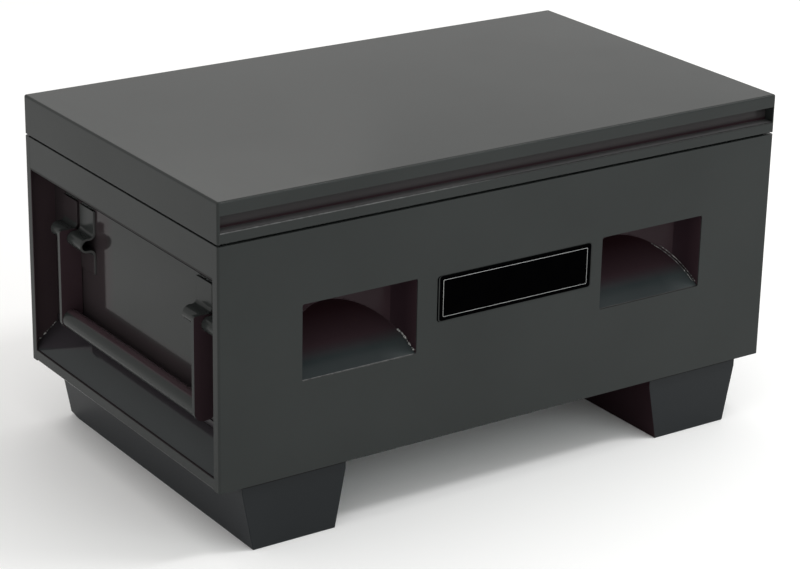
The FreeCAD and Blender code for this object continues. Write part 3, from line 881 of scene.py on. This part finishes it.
def plateLayer(name, corners, insets, front, radius, material):
    # one thin round-cornered layer of the plate, set in from its edges
    low, high = corners
    left, right, bottom, top = (inset * mm for inset in insets)
    layer = addBlock(name, (low.x + left, front, low.z + bottom),
                     (high.x - right, high.y, high.z - top))
    pickEdges(layer, lambda spot, run: abs(run.y) > 0.9)
    bpy.ops.mesh.bevel(offset=radius * mm, segments=plateLook["cornerSteps"], affect="EDGES")
    bpy.ops.object.mode_set(mode="OBJECT")
    layer.data.materials.append(material)
    return layer


def makeNameplate(look=plateLook):
    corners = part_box("nameplate")
    front = corners[0].y
    finishes = {name: plateEnamel("plate" + name.capitalize(), look[name])
                for name in ("rim", "field", "border")}
    layers = []
    for index, (name, insets, radius) in enumerate(look["layers"]):
        depth = (len(look["layers"]) - 1 - index) * look["layerStep"] * mm
        layers.append(plateLayer("namePlate", corners, insets, front + depth, radius, finishes[name]))
    deselect()
    for layer in layers:
        layer.select_set(True)
    bpy.context.view_layer.objects.active = layers[0]
    bpy.ops.object.join()
    plate = bpy.context.object
    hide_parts("nameplate")
    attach(plate, nodes["nameplate"]["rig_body"])


makeNameplate()
print("nameplate made")


# weld beads: one lump, copied along each joint with a welder's unsteady hand

beadLook = {
    "lump": (1.25, 1.0, 0.85),      # length, width and height of a lump, as shares of the bead's width
    "lumpSides": 8,
    "lumpRings": 5,
    "step": 0.62,                   # from one lump to the next, as a share of the width
    "wobble": 0.7,
    "drift": 0.35,
    "seed": 11,
}


def runBead(name, path, width, body, material, gaps=0.0, look=beadLook):
    # lumps of the given width in mm along a path of points; gaps is the share left out
    chance = random.Random(look["seed"])
    deselect()
    bpy.ops.mesh.primitive_uv_sphere_add(segments=look["lumpSides"], ring_count=look["lumpRings"],
                                         radius=0.5)
    lump = bpy.context.object
    bpy.ops.object.mode_set(mode="EDIT")
    bpy.ops.mesh.select_all(action="SELECT")
    bpy.ops.transform.resize(value=look["lump"])
    bpy.ops.object.mode_set(mode="OBJECT")
    copies = []
    for start, end in zip(path[:-1], path[1:]):
        run = end - start
        turn = run.to_track_quat("X", "Z").to_matrix().to_4x4()
        count = max(1, round(run.length / (width * look["step"] * mm)))
        for index in range(count):
            if chance.random() < gaps:
                continue
            size = width * mm * (1 + look["wobble"] * (chance.random() - 0.5))
            aside = Vector(chance.uniform(-1, 1) for axis in range(3)) * look["drift"] * width * mm
            spot = start + run * (index / count) + aside * 0.5
            copy = bpy.data.objects.new(name, lump.data.copy())
            copy.data.transform(Matrix.Translation(spot) @ turn @ Matrix.Scale(size, 4))
            bpy.context.scene.collection.objects.link(copy)
            copies.append(copy)
    bpy.data.objects.remove(lump)
    deselect()
    for copy in copies:
        copy.select_set(True)
    bpy.context.view_layer.objects.active = copies[0]
    bpy.ops.object.join()
    bead = bpy.context.object
    bead.name = name
    bead.data.materials.append(material)
    bpy.ops.object.shade_smooth()
    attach(bead, body)


pocketWeld = {
    "slope": 0.75,      # how steeply a pocket's floor falls to the front
    "inset": 0.9,       # from the wall to the middle of a bead, in mm
    "above": 0.3,       # and from the floor
    "steps": 16,        # straight runs in an arc
}


def pocketArc(side, arc, inset, steps, look=pocketWeld):
    # where the sloping floor meets the round wall; 0 degrees is at the right of the opening
    low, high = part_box(side + "_pocket_floor")
    middle = (low.x + high.x) / 2
    radius = (high.x - low.x) / 2 - inset * mm
    foot = high.z - look["slope"] * (high.y - low.y)
    start, end = arc
    path = []
    for step in range(steps + 1):
        angle = math.radians(start + (end - start) * step / steps)
        depth = math.sin(angle) * radius
        path.append(Vector((middle + math.cos(angle) * radius, low.y + depth,
                            foot + look["slope"] * depth + look["above"] * mm)))
    return path


# each bead's arc in degrees, its width in mm, its finish and the share of lumps that is left out;
# a lift is how many mm higher up the wall a bead runs
# some beads deep in the pockets take the arms' warm painted shade
bothPockets = {
    "PocketWeldLeft": {"arc": (125, 176), "width": 2.2, "finish": outerPaint, "gaps": 0.15},
    "PocketWeldBack": {"arc": (62, 125), "steps": 30, "width": 2.2, "finish": warmShadePaint, "gaps": 0.3},
}
eachPocket = {
    "left": {
        "PocketWeldRight": {"arc": (3, 24), "lift": 0.8, "width": 2.7, "finish": seamPaint,
                            "gaps": 0.2},
        "PocketWeldThin": {"arc": (24, 62), "width": 1.1, "finish": warmShadePaint, "gaps": 0.3},
    },
    "right": {
        "PocketWeldRight": {"arc": (3, 42), "lift": 2.2, "width": 1.1, "finish": seamPaint,
                            "gaps": 0.35},
        "PocketWeldLow": {"arc": (5, 50), "inset": 2.6, "width": 1.1, "finish": seamPaint,
                          "gaps": 0.3},
    },
}


def pocketBead(side, name, look):
    path = pocketArc(side, look["arc"], look.get("inset", pocketWeld["inset"]),
                     look.get("steps", pocketWeld["steps"]))
    lift = Vector((0, 0, look.get("lift", 0.0) * mm))
    runBead(side + name, [spot + lift for spot in path], look["width"], "box",
            look["finish"], look["gaps"])


for side in ("left", "right"):
    for name, look in bothPockets.items():
        pocketBead(side, name, look)
for side, beads in eachPocket.items():
    for name, look in beads.items():
        pocketBead(side, name, look)
print("pocket welds made")


# plug welds that fill the slots above the handle straps

plugLook = {"length": 26.0, "above": 2.0, "width": 4.4, "inset": 0.2}


def strapRanges(side):
    # the y-range of each of the four straps, read from the node's own corners
    corners = nodes[side + "_pivot_straps"].data.vertices
    spots = sorted({round(corner.co.y, 5) for corner in corners})
    return [(spots[index], spots[index + 1]) for index in range(0, len(spots), 2)]


def plugWelds(side, way, look=plugLook):
    # way is -1 at the left-hand end, 1 at the right
    low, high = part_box(side + "_pivot_straps")
    panelLow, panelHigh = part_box(side + "_end_panel")
    face = panelLow.x if way < 0 else panelHigh.x
    half = look["length"] * mm / 2
    slotX = face - way * look["inset"] * mm
    slotZ = high.z + look["above"] * mm
    ranges = strapRanges(side)
    width = ranges[0][1] - ranges[0][0]
    for index, (start, end) in enumerate(ranges):
        middle = start + width / 2
        path = [Vector((slotX, middle + tip * half, slotZ)) for tip in (-1, 1)]
        runBead(side + "PlugWeld" + str(index), path, look["width"], "box", outerPaint)


for side, way in (("left", -1), ("right", 1)):
    plugWelds(side, way)
print("plug welds made")


# welds at the foot of each recess

cornerWeld = {
    # all in mm but the last
    "width": 2.0,
    "hem": 9.0,             # the ramp's own hems, above and below its slope
    "footLift": 5.0,
    "headLift": 0.5,
    "fromOuter": 4.0,       # where a bead starts and ends, in from the ramp's long edges
    "fromInner": 2.0,
    "fromSheet": 0.6,
    "gaps": 0.35,
}


def recessWelds(side, way, look=cornerWeld):
    # up the slope where the ramp meets the back sheet and the front sheet
    low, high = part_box(side + "_recess_ramp")
    outer, inner = (low.x, high.x) if way < 0 else (high.x, low.x)
    hem = look["hem"] * mm
    foot = low.z + hem + look["footLift"] * mm
    head = high.z - hem + look["headLift"] * mm
    for label, sheet, inwards in (("Back", high.y, -1), ("Front", low.y, 1)):
        y = sheet + inwards * look["fromSheet"] * mm
        path = [Vector((outer - way * look["fromOuter"] * mm, y, foot)),
                Vector((inner + way * look["fromInner"] * mm, y, head))]
        runBead(side + "RampWeld" + label, path, look["width"], "box", seamPaint, look["gaps"])


for side, way in (("left", -1), ("right", 1)):
    recessWelds(side, way)
print("recess welds made")
